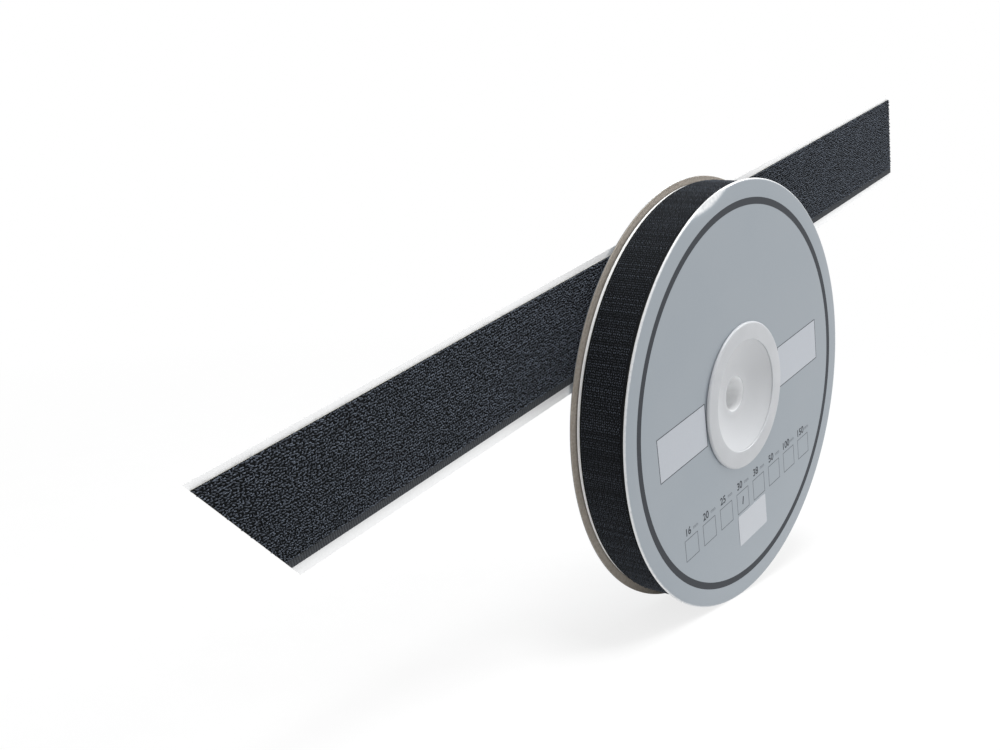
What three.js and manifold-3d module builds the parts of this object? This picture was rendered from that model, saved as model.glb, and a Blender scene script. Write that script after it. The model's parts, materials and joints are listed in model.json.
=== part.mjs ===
// A reel of self-adhesive hook tape with a cut length of a wider tape set against its back.
// Millimetres, +Z up. The reel stands on its rims with its axis along Y and its printed
// side facing -Y. The origin is on the table under the middle of the whole set.
import * as THREE from 'three';
import { mergeVertices } from 'three/addons/utils/BufferGeometryUtils.js';
import Module from 'manifold-3d';

// Hook tape, its adhesive and its release liner
const TAPE_WIDTH = 30;
const SELVEDGE = 1.3;
const GROUND_PLY = 0.6;
const HOOK_HEIGHT = 0.9;
const ADHESIVE_PLY = 0.25;
const LINER_PLY = 0.2;
const LINER_MARGIN = 2.4;

// Winding: the outer turn starts at a step in the inner turns and ends in a loose tail
const RIM_DEPTH = 7.1;
const TURN_GAP = 0.5;
const START_DEG = 96;
const OVERLAP_DEG = 16;
const TAIL_DEG = 44;
const STEPS_PER_TURN = 90;
const BEND_GAP = 0.3;
const SIDE_PLAY = 1.2;

// Flanges: greyboard discs faced with printed paper
const FLANGE_RADIUS = 140;
const BOARD = 1.5;
const FACING = 0.25;
const FACING_INSET = 0.3;
const FLANGE_FACETS = 96;

// Core tube and the two moulded hub plugs that snap together inside it
const CORE_WALL = 4;
const BARREL_RADIUS = 41;
const BARREL_WALL = 2;
const COLLAR_RADIUS = 48.6;
const COLLAR_THICKNESS = 2;
const COLLAR_ROUND = 1.2;
const DISH_RADIUS = 37;
const DISH_FLOOR_RADIUS = 15;
const DISH_DEPTH = 8.5;
const DISH_WALL = 2;
const SPINDLE_RADIUS = 11.6;
const SLEEVE_WALL = 2.6;
const SPIGOT_WALL = 1.1;
const SPIGOT_LENGTH = 6;
const RIB_COUNT = 8;
const RIB_THICKNESS = 1.6;
const RIB_DROP = 1.5;
const SNAP_COUNT = 4;
const SNAP_WIDTH = 8;
const SNAP_THICKNESS = 1.8;
const SNAP_REACH = 9;
const SNAP_ROOT = 7;
const SNAP_BARB = 1.2;
const SNAP_BARB_LENGTH = 4;
const SNAP_CLEARANCE = 0.5;
const HUB_FACETS = 48;
const DISH_STEPS = 8;
const FIT = 0.3;
const SEAT = 0.02;

// Small white sticker on the printed face, square to the print
const PRINT_TURN_DEG = 12.5;
const STICKER_WIDTH = 38;
const STICKER_HEIGHT = 22;
const STICKER_THICKNESS = 0.15;
const STICKER_CORNER = 1.5;
const STICKER_CORNER_STEPS = 3;
const STICKER_DROP = 92;

// Cut length of a wider tape: it stands on the far hub's collar with its hooks on the far side's
// paper, and one end, cut on the slant, peels off its liner
const STRIP_TAPE_WIDTH = 61;
const STRIP_LOWER_SELVEDGE = 4;
const STRIP_LINER_BELOW = 6.5;
const STRIP_LINER_ABOVE = 4;
const STRIP_LENGTH = 717;
const STRIP_SHIFT = 17.4;
const STRIP_RISE_DEG = 12.7;
const STRIP_SLANT_DEG = 35;
const PEEL_LENGTH = 80;

const hookPly = GROUND_PLY + HOOK_HEIGHT;
const stack = LINER_PLY + ADHESIVE_PLY + hookPly;
const pitch = stack + TURN_GAP;
const stepRadius = FLANGE_RADIUS - RIM_DEPTH;
const linerWidth = TAPE_WIDTH + 2 * LINER_MARGIN;
const flangeSpacing = linerWidth + SIDE_PLAY;
const faceY = flangeSpacing / 2 + BOARD + FACING;
const hubY = faceY + SEAT + COLLAR_THICKNESS;
const coreInner = BARREL_RADIUS + FIT;
const coreOuter = coreInner + CORE_WALL;
const windingY = FIT - SIDE_PLAY / 2;
const barrelInner = BARREL_RADIUS - BARREL_WALL;
const sleeveOuter = SPINDLE_RADIUS + SLEEVE_WALL;
const midDepth = hubY - FIT / 2;
const degrees = THREE.MathUtils.degToRad;

const wasm = await Module();
wasm.setup();

function finish(color, roughness) {
  return new THREE.MeshStandardMaterial({ color, roughness, metalness: 0 });
}
const hookBlack = finish(0x24272a, 0.85);
const adhesiveClear = finish(0xc9c2a8, 0.35);
const linerWhite = finish(0xf0f0ee, 0.4);
const greyboard = finish(0x857a70, 0.95);
const silverPaper = finish(0xa9b1b9, 0.5);
const hubWhite = finish(0xd6d9dc, 0.4);
const stickerWhite = finish(0xe4e6e8, 0.5);
const coreBrown = finish(0xa58f74, 0.95);

function solid(geometry) {
  const bare = geometry.clone();
  bare.deleteAttribute('normal');
  bare.deleteAttribute('uv');
  const merged = mergeVertices(bare, 1e-4);
  const vertProperties = new Float32Array(merged.attributes.position.array);
  const triVerts = new Uint32Array(merged.index.array);
  return new wasm.Manifold(new wasm.Mesh({ numProp: 3, vertProperties, triVerts }));
}

function fromSolid(body) {
  const mesh = body.getMesh();
  const geometry = new THREE.BufferGeometry();
  geometry.setAttribute('position', new THREE.BufferAttribute(mesh.vertProperties, 3));
  geometry.setIndex(new THREE.BufferAttribute(mesh.triVerts, 1));
  geometry.computeVertexNormals();
  return geometry;
}

function node(parent, name, geometry, material) {
  const mesh = new THREE.Mesh(geometry, material);
  mesh.name = name;
  parent.add(mesh);
  return mesh;
}

// A closed outline of [radius, y] points, turned about the reel's axis with a flat at the bottom.
function revolve(outline, facets) {
  const points = outline.map(([radius, y]) => new THREE.Vector2(radius, y));
  points.push(points[0].clone());
  return new THREE.LatheGeometry(points, facets, Math.PI / facets);
}

function annulus(inner, outer, y0, y1, facets) {
  return revolve([[inner, y0], [outer, y0], [outer, y1], [inner, y1]], facets);
}

// An outline in the reel's plane, thickened along the axis about the plane y = middle.
function slab(shape, width, middle, curveSegments = 1) {
  const geometry = new THREE.ExtrudeGeometry(shape, { depth: width, bevelEnabled: false, curveSegments });
  return geometry.rotateX(Math.PI / 2).translate(0, middle + width / 2, 0);
}

// A point of the winding, `turn` radians on from the step and `height` over the layer below.
function windingPoint(turn, height) {
  const radius = stepRadius + height + pitch * turn / (2 * Math.PI);
  const angle = degrees(START_DEG) - turn;
  return new THREE.Vector2(radius * Math.cos(angle), radius * Math.sin(angle));
}

function turnsBetween(from, to) {
  const steps = Math.max(1, Math.round((to - from) * STEPS_PER_TURN / (2 * Math.PI)));
  return Array.from({ length: steps + 1 }, (_, i) => from + (to - from) * i / steps);
}

function layer(from, to, low, high) {
  const turns = turnsBetween(from, to);
  const under = turns.map((turn) => windingPoint(turn, low));
  const over = turns.map((turn) => windingPoint(turn, high));
  return new THREE.Shape([...under, ...over.reverse()]);
}

// Heights in the stack, from the layer below outwards: liner, adhesive, woven ground, hooks.
const linerLow = TURN_GAP;
const adhesiveLow = linerLow + LINER_PLY;
const groundLow = adhesiveLow + ADHESIVE_PLY;
const groundHigh = groundLow + GROUND_PLY;
const hooksHigh = groundHigh + HOOK_HEIGHT;
const fieldWidth = TAPE_WIDTH - 2 * SELVEDGE;
const fieldLow = (groundLow + groundHigh) / 2;

function woundTape(parent, prefix, from, to) {
  const ground = slab(layer(from, to, groundLow, groundHigh), TAPE_WIDTH, windingY);
  const hooks = slab(layer(from, to, fieldLow, hooksHigh), fieldWidth, windingY);
  const adhesive = slab(layer(from, to, adhesiveLow, groundLow), TAPE_WIDTH, windingY);
  const liner = slab(layer(from, to, linerLow, adhesiveLow), linerWidth, windingY);
  node(parent, `${prefix}_hook_tape`, fromSolid(solid(ground).add(solid(hooks))), hookBlack);
  node(parent, `${prefix}_adhesive`, adhesive, adhesiveClear);
  node(parent, `${prefix}_liner`, liner, linerWhite);
}

const rootTurn = degrees(360 + OVERLAP_DEG);
const endTurn = rootTurn + degrees(TAIL_DEG);
const startTurn = FIT / stepRadius;
const tailTurn = rootTurn + BEND_GAP / stepRadius;

// The least distance between the winding's outer face and the turn that lies over it.
function leastTurnGap() {
  const spacing = degrees(0.5);
  const outer = [];
  const inner = [];
  for (let turn = startTurn; turn <= endTurn; turn += spacing) {
    outer.push(windingPoint(turn, hooksHigh));
    inner.push(windingPoint(turn, linerLow));
  }
  const halfTurn = Math.round(Math.PI / spacing);
  let least = Infinity;
  outer.forEach((point, i) => {
    inner.slice(i + halfTurn).forEach((other) => {
      least = Math.min(least, point.distanceTo(other));
    });
  });
  return least;
}

function innerTurns() {
  const outline = new THREE.Shape(turnsBetween(0, 2 * Math.PI).map((turn) => windingPoint(turn, 0)));
  const bore = new THREE.Path();
  bore.absarc(0, 0, coreOuter + FIT, 0, 2 * Math.PI, false);
  outline.holes.push(bore);
  return slab(outline, linerWidth, windingY, HUB_FACETS / 2);
}

// Depth of the dished face below the collar, at a distance from the axis.
function dishDepth(radius) {
  const share = (radius - DISH_FLOOR_RADIUS) / (DISH_RADIUS - DISH_FLOOR_RADIUS);
  return DISH_DEPTH * (1 - Math.max(0, share) ** 2);
}

function spread(from, to, steps) {
  return Array.from({ length: steps + 1 }, (_, i) => from + (to - from) * i / steps);
}

function quarterRound(radius, y, turn) {
  return spread(turn, turn + Math.PI / 2, 3).map((angle) => [
    radius + COLLAR_ROUND * Math.cos(angle),
    y + COLLAR_ROUND * Math.sin(angle),
  ]);
}

// One hub plug, seen from its collar: y runs from the collar's face into the reel.
// Both plugs have a collar, dish, barrel, sleeve and ribs; `mate` shapes where they join.
function plugBody(mate) {
  const dish = spread(DISH_FLOOR_RADIUS, DISH_RADIUS, DISH_STEPS).map((r) => [r, dishDepth(r)]);
  const under = spread(barrelInner, sleeveOuter, DISH_STEPS)
    .map((r) => [r, Math.max(COLLAR_THICKNESS, dishDepth(r) + DISH_WALL)]);
  const body = revolve([
    [SPINDLE_RADIUS, DISH_DEPTH],
    ...dish,
    ...quarterRound(COLLAR_RADIUS - COLLAR_ROUND, COLLAR_ROUND, -Math.PI / 2),
    [COLLAR_RADIUS, COLLAR_THICKNESS],
    [BARREL_RADIUS, COLLAR_THICKNESS],
    [BARREL_RADIUS, midDepth],
    [barrelInner, midDepth],
    ...under,
    [sleeveOuter, midDepth],
    ...mate,
  ], HUB_FACETS);
  const ribLow = spread(sleeveOuter - SLEEVE_WALL / 2, barrelInner + BARREL_WALL / 2, DISH_STEPS)
    .map((r) => new THREE.Vector2(r, Math.max(COLLAR_THICKNESS, dishDepth(r) + DISH_WALL) - DISH_WALL / 2));
  const ribTop = midDepth - RIB_DROP;
  const ribShape = new THREE.Shape([
    ...ribLow,
    new THREE.Vector2(ribLow.at(-1).x, ribTop),
    new THREE.Vector2(ribLow[0].x, ribTop),
  ]);
  return addAround(solid(body), ribShape, RIB_THICKNESS, RIB_COUNT, 0);
}

// Joins `count` radial plates of one outline to a body, evenly round the axis.
function addAround(body, shape, thickness, count, firstAngle) {
  let joined = body;
  for (let i = 0; i < count; i += 1) {
    const plate = new THREE.ExtrudeGeometry(shape, { depth: thickness, bevelEnabled: false });
    plate.translate(0, 0, -thickness / 2).rotateY(firstAngle + 2 * Math.PI * i / count);
    joined = joined.add(solid(plate));
  }
  return joined;
}

const snapFace = barrelInner - SNAP_CLEARANCE;
const snapBack = snapFace - SNAP_THICKNESS;
const snapTip = midDepth + FIT + SNAP_REACH;
const snapAngle = Math.PI / RIB_COUNT;

// The printed side's plug: its sleeve ends in a spigot and its barrel in four barbed fingers.
function nearPlug() {
  const spigotOuter = SPINDLE_RADIUS + SPIGOT_WALL;
  const body = plugBody([
    [spigotOuter, midDepth],
    [spigotOuter, midDepth + SPIGOT_LENGTH],
    [SPINDLE_RADIUS, midDepth + SPIGOT_LENGTH],
  ]);
  const finger = new THREE.Shape([
    new THREE.Vector2(snapBack, midDepth - SNAP_ROOT),
    new THREE.Vector2(barrelInner + BARREL_WALL / 2, midDepth - SNAP_ROOT),
    new THREE.Vector2(barrelInner + BARREL_WALL / 2, midDepth - FIT),
    new THREE.Vector2(snapFace, midDepth - FIT),
    new THREE.Vector2(snapFace, snapTip - SNAP_BARB_LENGTH),
    new THREE.Vector2(snapFace + SNAP_BARB, snapTip - SNAP_BARB_LENGTH),
    new THREE.Vector2(snapFace, snapTip),
    new THREE.Vector2(snapBack, snapTip),
  ]);
  return fromSolid(addAround(body, finger, SNAP_WIDTH, SNAP_COUNT, snapAngle));
}

// The plain side's plug: its sleeve takes the spigot and its barrel has a window for each barb.
function farPlug() {
  const socketInner = SPINDLE_RADIUS + SPIGOT_WALL + FIT;
  const socketFloor = midDepth - SPIGOT_LENGTH - FIT;
  const body = plugBody([
    [socketInner, midDepth],
    [socketInner, socketFloor],
    [SPINDLE_RADIUS, socketFloor],
  ]);
  const windowWidth = SNAP_WIDTH + 2 * SNAP_CLEARANCE;
  const windowLength = SNAP_BARB_LENGTH + 2 * SNAP_CLEARANCE;
  const windowDepth = SNAP_REACH - SNAP_BARB_LENGTH / 2;
  let pierced = body;
  for (let i = 0; i < SNAP_COUNT; i += 1) {
    const cutter = new THREE.BoxGeometry(3 * BARREL_WALL, windowLength, windowWidth);
    cutter.translate(BARREL_RADIUS - BARREL_WALL / 2, midDepth - windowDepth, 0);
    cutter.rotateY(2 * Math.PI * i / SNAP_COUNT - snapAngle);
    pierced = pierced.subtract(solid(cutter));
  }
  return fromSolid(pierced);
}

function roundedPlate(width, height, corner) {
  const [x, y] = [width / 2, height / 2];
  const shape = new THREE.Shape();
  shape.moveTo(corner - x, -y);
  shape.absarc(x - corner, corner - y, corner, -Math.PI / 2, 0);
  shape.absarc(x - corner, y - corner, corner, 0, Math.PI / 2);
  shape.absarc(corner - x, y - corner, corner, Math.PI / 2, Math.PI);
  shape.absarc(corner - x, corner - y, corner, Math.PI, 1.5 * Math.PI);
  return shape;
}

function flange(parent, side) {
  const innerY = flangeSpacing / 2;
  const rim = 1 / Math.cos(Math.PI / FLANGE_FACETS);
  const facingRadius = (FLANGE_RADIUS - FACING_INSET) * rim;
  const board = annulus(coreInner, FLANGE_RADIUS * rim, innerY, innerY + BOARD, FLANGE_FACETS);
  const facing = annulus(coreInner, facingRadius, innerY + BOARD, faceY, FLANGE_FACETS);
  const pair = new THREE.Group();
  node(pair, `${side}_flange_board`, board, greyboard);
  node(pair, `${side}_flange_facing`, facing, silverPaper);
  parent.add(pair);
  return pair;
}

function makeReel() {
  const reel = new THREE.Group();
  flange(reel, 'far');
  flange(reel, 'near').rotation.z = Math.PI;
  const coreHalf = flangeSpacing / 2 - SEAT;
  node(reel, 'core_tube', annulus(coreInner, coreOuter, -coreHalf, coreHalf, HUB_FACETS), coreBrown);
  node(reel, 'near_hub_plug', nearPlug(), hubWhite).position.y = -hubY;
  const far = node(reel, 'far_hub_plug', farPlug(), hubWhite);
  far.position.y = hubY;
  far.rotation.z = Math.PI;
  node(reel, 'inner_turns', innerTurns(), hookBlack);
  woundTape(reel, 'outer_turn', startTurn, rootTurn);
  woundTape(reel, 'tape_end', tailTurn, endTurn);
  const label = roundedPlate(STICKER_WIDTH, STICKER_HEIGHT, STICKER_CORNER);
  const stickerY = -faceY - SEAT - STICKER_THICKNESS / 2;
  const sticker = slab(label, STICKER_THICKNESS, stickerY, STICKER_CORNER_STEPS);
  sticker.translate(0, 0, -STICKER_DROP).rotateY(-degrees(PRINT_TURN_DEG));
  node(reel, 'width_sticker', sticker, stickerWhite);
  reel.position.z = FLANGE_RADIUS;
  return reel;
}

// A straight run of one ply along X, between two places on the strip, from `below` to `above` its
// middle line and between two heights. The lean of its near end is how far it runs on towards -X
// for each mm above the middle line.
function run(from, to, below, above, low, high, lean) {
  const outline = new THREE.Shape([
    new THREE.Vector2(from + below * lean, -below),
    new THREE.Vector2(to, -below),
    new THREE.Vector2(to, above),
    new THREE.Vector2(from - above * lean, above),
  ]);
  const ply = new THREE.ExtrudeGeometry(outline, { depth: high - low, bevelEnabled: false });
  return ply.translate(0, 0, low);
}

const stripHalf = STRIP_TAPE_WIDTH / 2;
const stripLinerBelow = stripHalf + STRIP_LINER_BELOW;
const stripLinerAbove = stripHalf + STRIP_LINER_ABOVE;
const stripGround = LINER_PLY + ADHESIVE_PLY;

function hookRun(from, to, lean) {
  const ground = run(from, to, stripHalf, stripHalf, stripGround, stripGround + GROUND_PLY, lean);
  const fieldBelow = stripHalf - STRIP_LOWER_SELVEDGE;
  const fieldAbove = stripHalf - SELVEDGE;
  const hooks = run(from, to, fieldBelow, fieldAbove, stripGround + GROUND_PLY / 2, stack, lean);
  return fromSolid(solid(ground).add(solid(hooks)));
}

// Made flat along X with its liner down, then stood up behind the far side, hooks to the reel.
function makeStrip() {
  const strip = new THREE.Group();
  const near = -STRIP_LENGTH / 2;
  const far = STRIP_LENGTH / 2;
  const fold = near + PEEL_LENGTH;
  const end = fold - BEND_GAP;
  const lean = Math.tan(degrees(STRIP_SLANT_DEG));
  const liner = run(near, far, stripLinerBelow, stripLinerAbove, 0, LINER_PLY, lean);
  const main = run(fold, far, stripHalf, stripHalf, LINER_PLY, stripGround, 0);
  const loose = run(near, end, stripHalf, stripHalf, LINER_PLY, stripGround, lean);
  node(strip, 'strip_liner', liner, linerWhite);
  node(strip, 'strip_adhesive', main, adhesiveClear);
  node(strip, 'strip_hook_tape', hookRun(fold, far, 0), hookBlack);
  node(strip, 'strip_end_adhesive', loose, adhesiveClear);
  node(strip, 'strip_end_hook_tape', hookRun(near, end, lean), hookBlack);
  const rise = degrees(STRIP_RISE_DEG);
  const overAxis = COLLAR_RADIUS + SEAT + stripLinerBelow;
  strip.rotation.set(Math.PI / 2, -rise, 0, 'YXZ');
  const overCollar = new THREE.Vector3(-Math.sin(rise), 0, Math.cos(rise)).multiplyScalar(overAxis);
  const aside = new THREE.Vector3(Math.cos(rise), 0, Math.sin(rise)).multiplyScalar(-STRIP_SHIFT);
  strip.position.set(0, faceY + SEAT + stack, FLANGE_RADIUS).add(overCollar).add(aside);
  return strip;
}

console.log(`least gap of the outer turn to itself: ${leastTurnGap().toFixed(2)} mm`);

const tapeReelSet = new THREE.Group();
tapeReelSet.add(makeReel(), makeStrip());
tapeReelSet.updateMatrixWorld(true);
const middle = new THREE.Box3().setFromObject(tapeReelSet, true).getCenter(new THREE.Vector3());
tapeReelSet.position.set(-middle.x, -middle.y, 0);

export default tapeReelSet;
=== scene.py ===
import json
import math
from collections import namedtuple

import bpy
import numpy as np
from mathutils import Matrix, Vector


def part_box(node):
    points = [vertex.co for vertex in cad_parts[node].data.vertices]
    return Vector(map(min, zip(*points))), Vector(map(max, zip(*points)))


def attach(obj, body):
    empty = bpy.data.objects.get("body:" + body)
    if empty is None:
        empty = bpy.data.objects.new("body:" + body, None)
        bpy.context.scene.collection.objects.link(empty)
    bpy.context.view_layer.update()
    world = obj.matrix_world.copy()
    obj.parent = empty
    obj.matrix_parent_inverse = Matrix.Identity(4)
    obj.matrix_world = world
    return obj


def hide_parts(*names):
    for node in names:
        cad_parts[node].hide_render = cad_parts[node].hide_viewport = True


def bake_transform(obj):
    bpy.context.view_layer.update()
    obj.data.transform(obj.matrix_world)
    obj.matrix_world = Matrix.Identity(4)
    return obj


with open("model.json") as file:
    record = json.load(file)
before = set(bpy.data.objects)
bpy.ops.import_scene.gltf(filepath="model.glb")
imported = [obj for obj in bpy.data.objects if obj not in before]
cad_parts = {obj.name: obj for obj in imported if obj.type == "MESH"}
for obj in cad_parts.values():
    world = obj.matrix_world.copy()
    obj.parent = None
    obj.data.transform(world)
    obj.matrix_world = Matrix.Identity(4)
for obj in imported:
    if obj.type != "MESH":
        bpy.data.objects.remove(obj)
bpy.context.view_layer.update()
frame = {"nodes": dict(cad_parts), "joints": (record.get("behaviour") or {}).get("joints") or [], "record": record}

# Core tube
# A spiral-wound tube of brown board that the tape starts on, gripped between the two flanges.
# It is hidden under the winding, so the modelled solid is kept and only dressed.

GRAIN_RANGE = (0.3, 0.7)
GRAIN_BUMP = 0.6

Finish = namedtuple("Finish", "material tree shader where colour")


def fill_inputs(tree, node, values):
    for name, value in values.items():
        socket = node.inputs[name.replace("_", " ")]
        if isinstance(value, bpy.types.NodeSocket):
            tree.links.new(value, socket)
        else:
            socket.default_value = value
    return node


def add_node(tree, kind, **values):
    return fill_inputs(tree, tree.nodes.new("ShaderNode" + kind), values)


def new_effect(name, inputs, outputs):
    effect = bpy.data.node_groups.new(name, "ShaderNodeTree")
    for label, kind in inputs.items():
        effect.interface.new_socket(label, in_out="INPUT", socket_type="NodeSocket" + kind)
    for label, kind in outputs.items():
        effect.interface.new_socket(label, in_out="OUTPUT", socket_type="NodeSocket" + kind)
    given = effect.nodes.new("NodeGroupInput").outputs
    result = effect.nodes.new("NodeGroupOutput").inputs
    return effect, given, result


def add_effect(tree, effect, **values):
    node = tree.nodes.new("ShaderNodeGroup")
    node.node_tree = effect
    return fill_inputs(tree, node, values).outputs


def blend_colours(tree, factor, first, second):
    mix = tree.nodes.new("ShaderNodeMix")
    mix.data_type = "RGBA"
    tree.links.new(factor, mix.inputs["Factor"])
    for side, colour in (("A", first), ("B", second)):
        socket = next(each for each in mix.inputs if each.identifier == side + "_Color")
        if isinstance(colour, tuple):
            socket.default_value = (*colour, 1)
        else:
            tree.links.new(colour, socket)
    return next(each for each in mix.outputs if each.identifier == "Result_Color")


def rescale(tree, value, source, target):
    span = add_node(
        tree, "MapRange", Value=value, From_Min=source[0], From_Max=source[1],
        To_Min=target[0], To_Max=target[1])
    return span.outputs["Result"]


def read_attribute(tree, name, output):
    attribute = tree.nodes.new("ShaderNodeAttribute")
    attribute.attribute_name = name
    return attribute.outputs[output]


grain, given, result = new_effect("grain", inputs={
    "Place": "Vector",
    "Grains per metre": "Float",
    "Dark": "Color",
    "Light": "Color",
    "Smoothest": "Float",
    "Roughest": "Float",
    "Relief": "Float",
}, outputs={"Colour": "Color", "Roughness": "Float", "Normal": "Vector"})
speckle = add_node(
    grain, "TexNoise", Vector=given["Place"], Scale=given["Grains per metre"], Detail=5, Roughness=0.6)
spread = rescale(grain, speckle.outputs["Fac"], GRAIN_RANGE, (0, 1))
grain.links.new(blend_colours(grain, spread, given["Dark"], given["Light"]), result["Colour"])
gloss = rescale(grain, speckle.outputs["Fac"], GRAIN_RANGE, (given["Smoothest"], given["Roughest"]))
grain.links.new(gloss, result["Roughness"])
bump = add_node(
    grain, "Bump", Strength=GRAIN_BUMP, Distance=given["Relief"], Height=speckle.outputs["Fac"])
grain.links.new(bump.outputs["Normal"], result["Normal"])


def set_shader(finish, **values):
    fill_inputs(finish.tree, finish.shader, values)


def grained_material(name, dark, light, grains_per_metre, roughness, relief, place="Object"):
    material = bpy.data.materials.new(name)
    material.use_nodes = True
    tree = material.node_tree
    shader = tree.nodes["Principled BSDF"]
    if place == "Object":
        where = tree.nodes.new("ShaderNodeTexCoord").outputs["Object"]
    else:
        where = read_attribute(tree, place, "Vector")
    surface = add_effect(
        tree, grain, Place=where, Grains_per_metre=grains_per_metre, Dark=(*dark, 1), Light=(*light, 1),
        Smoothest=roughness[0], Roughest=roughness[1], Relief=relief)
    finish = Finish(material, tree, shader, where, surface["Colour"])
    set_shader(
        finish, Base_Color=surface["Colour"], Roughness=surface["Roughness"], Normal=surface["Normal"])
    return finish


def dress_node(name, finish):
    node = frame["nodes"][name]
    node.data.materials.clear()
    node.data.materials.append(finish.material)


core_board = grained_material(
    "core_board", dark=(0.30, 0.21, 0.13), light=(0.44, 0.32, 0.21),
    grains_per_metre=900, roughness=(0.85, 0.95), relief=0.0002)
dress_node("core_tube", core_board)

# Hub plugs
# Two white satin mouldings that snap together through the core: a flat collar with rounded edges
# lies on each flange, and a deep dish runs down to the spindle hole, with a barrel behind it.

SIDES = (("near", -1), ("far", 1))
COLLAR_RADIUS = 0.0486
COLLAR_THICKNESS = 0.002
COLLAR_ROUND = 0.0012
DISH_RADIUS = 0.037
DISH_FLOOR_RADIUS = 0.015
DISH_DEPTH = 0.0085
DISH_CURVE = 1.5
DISH_STEP = 0.0009
DISH_WALL = 0.002
DISH_POINTS = 22
UNDER_POINTS = 14
LIP_ROUND = 0.0003
BARREL_RADIUS = 0.041
BARREL_WALL = 0.002
SPINDLE_RADIUS = 0.0116
SPINDLE_ROUND = 0.0006
SLEEVE_WALL = 0.0026
SLEEVE_MARGIN = 0.000075
MEETING_GAP = 0.00015
HUB_STEPS = 144
START_SIZE = 0.001
MERGE_DISTANCE = 0.000002
SMOOTH_ANGLE = math.radians(32)

near_low, near_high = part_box("near_flange_board")
far_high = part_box("far_flange_board")[1]
reel_x = (near_low.x + near_high.x) / 2
reel_y = (near_low.y + far_high.y) / 2
reel_z = (near_low.z + near_high.z) / 2


def turned_piece(name, outline, steps):
    bpy.ops.object.select_all(action="DESELECT")
    radius, y = outline[0]
    bpy.ops.mesh.primitive_plane_add(size=START_SIZE, location=(reel_x + radius, y, reel_z))
    piece = bpy.context.object
    piece.name = name
    piece.data.name = name
    bpy.ops.object.transform_apply(location=True, rotation=True, scale=True)
    bpy.ops.object.mode_set(mode="EDIT")
    bpy.ops.mesh.select_all(action="SELECT")
    bpy.ops.mesh.merge(type="CENTER")
    for before, after in zip(outline, outline[1:] + outline[:1]):
        step = (after[0] - before[0], after[1] - before[1], 0)
        bpy.ops.mesh.extrude_vertices_move(TRANSFORM_OT_translate={"value": step})
    bpy.ops.mesh.select_all(action="SELECT")
    bpy.ops.mesh.spin(steps=steps, angle=2 * math.pi, center=(reel_x, reel_y, reel_z), axis=(0, 1, 0))
    bpy.ops.mesh.select_all(action="SELECT")
    bpy.ops.mesh.remove_doubles(threshold=MERGE_DISTANCE)
    bpy.ops.mesh.normals_make_consistent(inside=False)
    bpy.ops.object.mode_set(mode="OBJECT")
    bpy.ops.object.shade_smooth_by_angle(angle=SMOOTH_ANGLE)
    return piece


def arc(radius, depth, size, first, last, points):
    angles = np.linspace(math.radians(first), math.radians(last), points)
    return [(radius + size * math.cos(angle), depth + size * math.sin(angle)) for angle in angles]


def dish_depth(radius):
    share = max(0, (radius - DISH_FLOOR_RADIUS) / (DISH_RADIUS - DISH_FLOOR_RADIUS))
    return DISH_DEPTH - (DISH_DEPTH - DISH_STEP) * min(1, share) ** DISH_CURVE


def hub_outline(middle):
    sleeve = SPINDLE_RADIUS + SLEEVE_WALL
    dish = [
        (radius, dish_depth(radius))
        for radius in np.linspace(DISH_FLOOR_RADIUS, DISH_RADIUS, DISH_POINTS)
    ]
    under = [
        (radius, max(COLLAR_THICKNESS, dish_depth(radius) + DISH_WALL))
        for radius in np.linspace(BARREL_RADIUS - BARREL_WALL, sleeve, UNDER_POINTS)
    ]
    return [
        (SPINDLE_RADIUS, middle),
        *arc(
            SPINDLE_RADIUS + SPINDLE_ROUND, DISH_DEPTH + SPINDLE_ROUND, SPINDLE_ROUND, 180, 270, points=5),
        *dish,
        (DISH_RADIUS, LIP_ROUND),
        (DISH_RADIUS + LIP_ROUND, 0),
        *arc(COLLAR_RADIUS - COLLAR_ROUND, COLLAR_ROUND, COLLAR_ROUND, -90, 0, points=7),
        (COLLAR_RADIUS, COLLAR_THICKNESS - LIP_ROUND),
        (COLLAR_RADIUS - LIP_ROUND, COLLAR_THICKNESS),
        (BARREL_RADIUS, COLLAR_THICKNESS),
        (BARREL_RADIUS, middle),
        (BARREL_RADIUS - BARREL_WALL, middle),
        *under,
        (sleeve, middle),
    ]


def outer_and_inner(node, sign):
    low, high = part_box(node)
    return (low.y, high.y) if sign < 0 else (high.y, low.y)


def from_face(face, sign, outline):
    return [(radius, face - sign * depth) for radius, depth in outline]


def vector_step(tree, operation, value, second=(0, 0, 0)):
    step = tree.nodes.new("ShaderNodeVectorMath")
    step.operation = operation
    step.inputs[1].default_value = second
    tree.links.new(value, step.inputs[0])
    return step.outputs["Value" if operation == "LENGTH" else "Vector"]


def tint(finish, factor, towards):
    colour = blend_colours(finish.tree, factor, finish.colour, towards)
    set_shader(finish, Base_Color=colour)
    return finish._replace(colour=colour)


def milky_plastic(name, dark, light, roughness, weight, depth):
    finish = grained_material(name, dark, light, grains_per_metre=60, roughness=roughness, relief=0.00002)
    set_shader(
        finish, Subsurface_Weight=weight, Subsurface_Radius=(depth, depth, depth), Subsurface_Scale=1)
    return finish


def fit_out(piece, finish):
    piece.data.materials.append(finish.material)
    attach(piece, "reel")


hub_plastic = milky_plastic(
    "hub_plastic", dark=(0.45, 0.463, 0.482), light=(0.49, 0.503, 0.522),
    roughness=(0.36, 0.46), weight=0.25, depth=0.004)
tree = hub_plastic.tree
from_axis = vector_step(tree, "SUBTRACT", hub_plastic.where, (reel_x, 0, reel_z))
flattened = vector_step(tree, "MULTIPLY", from_axis, (1, 0, 1))
axis_distance = vector_step(tree, "LENGTH", flattened)
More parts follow.
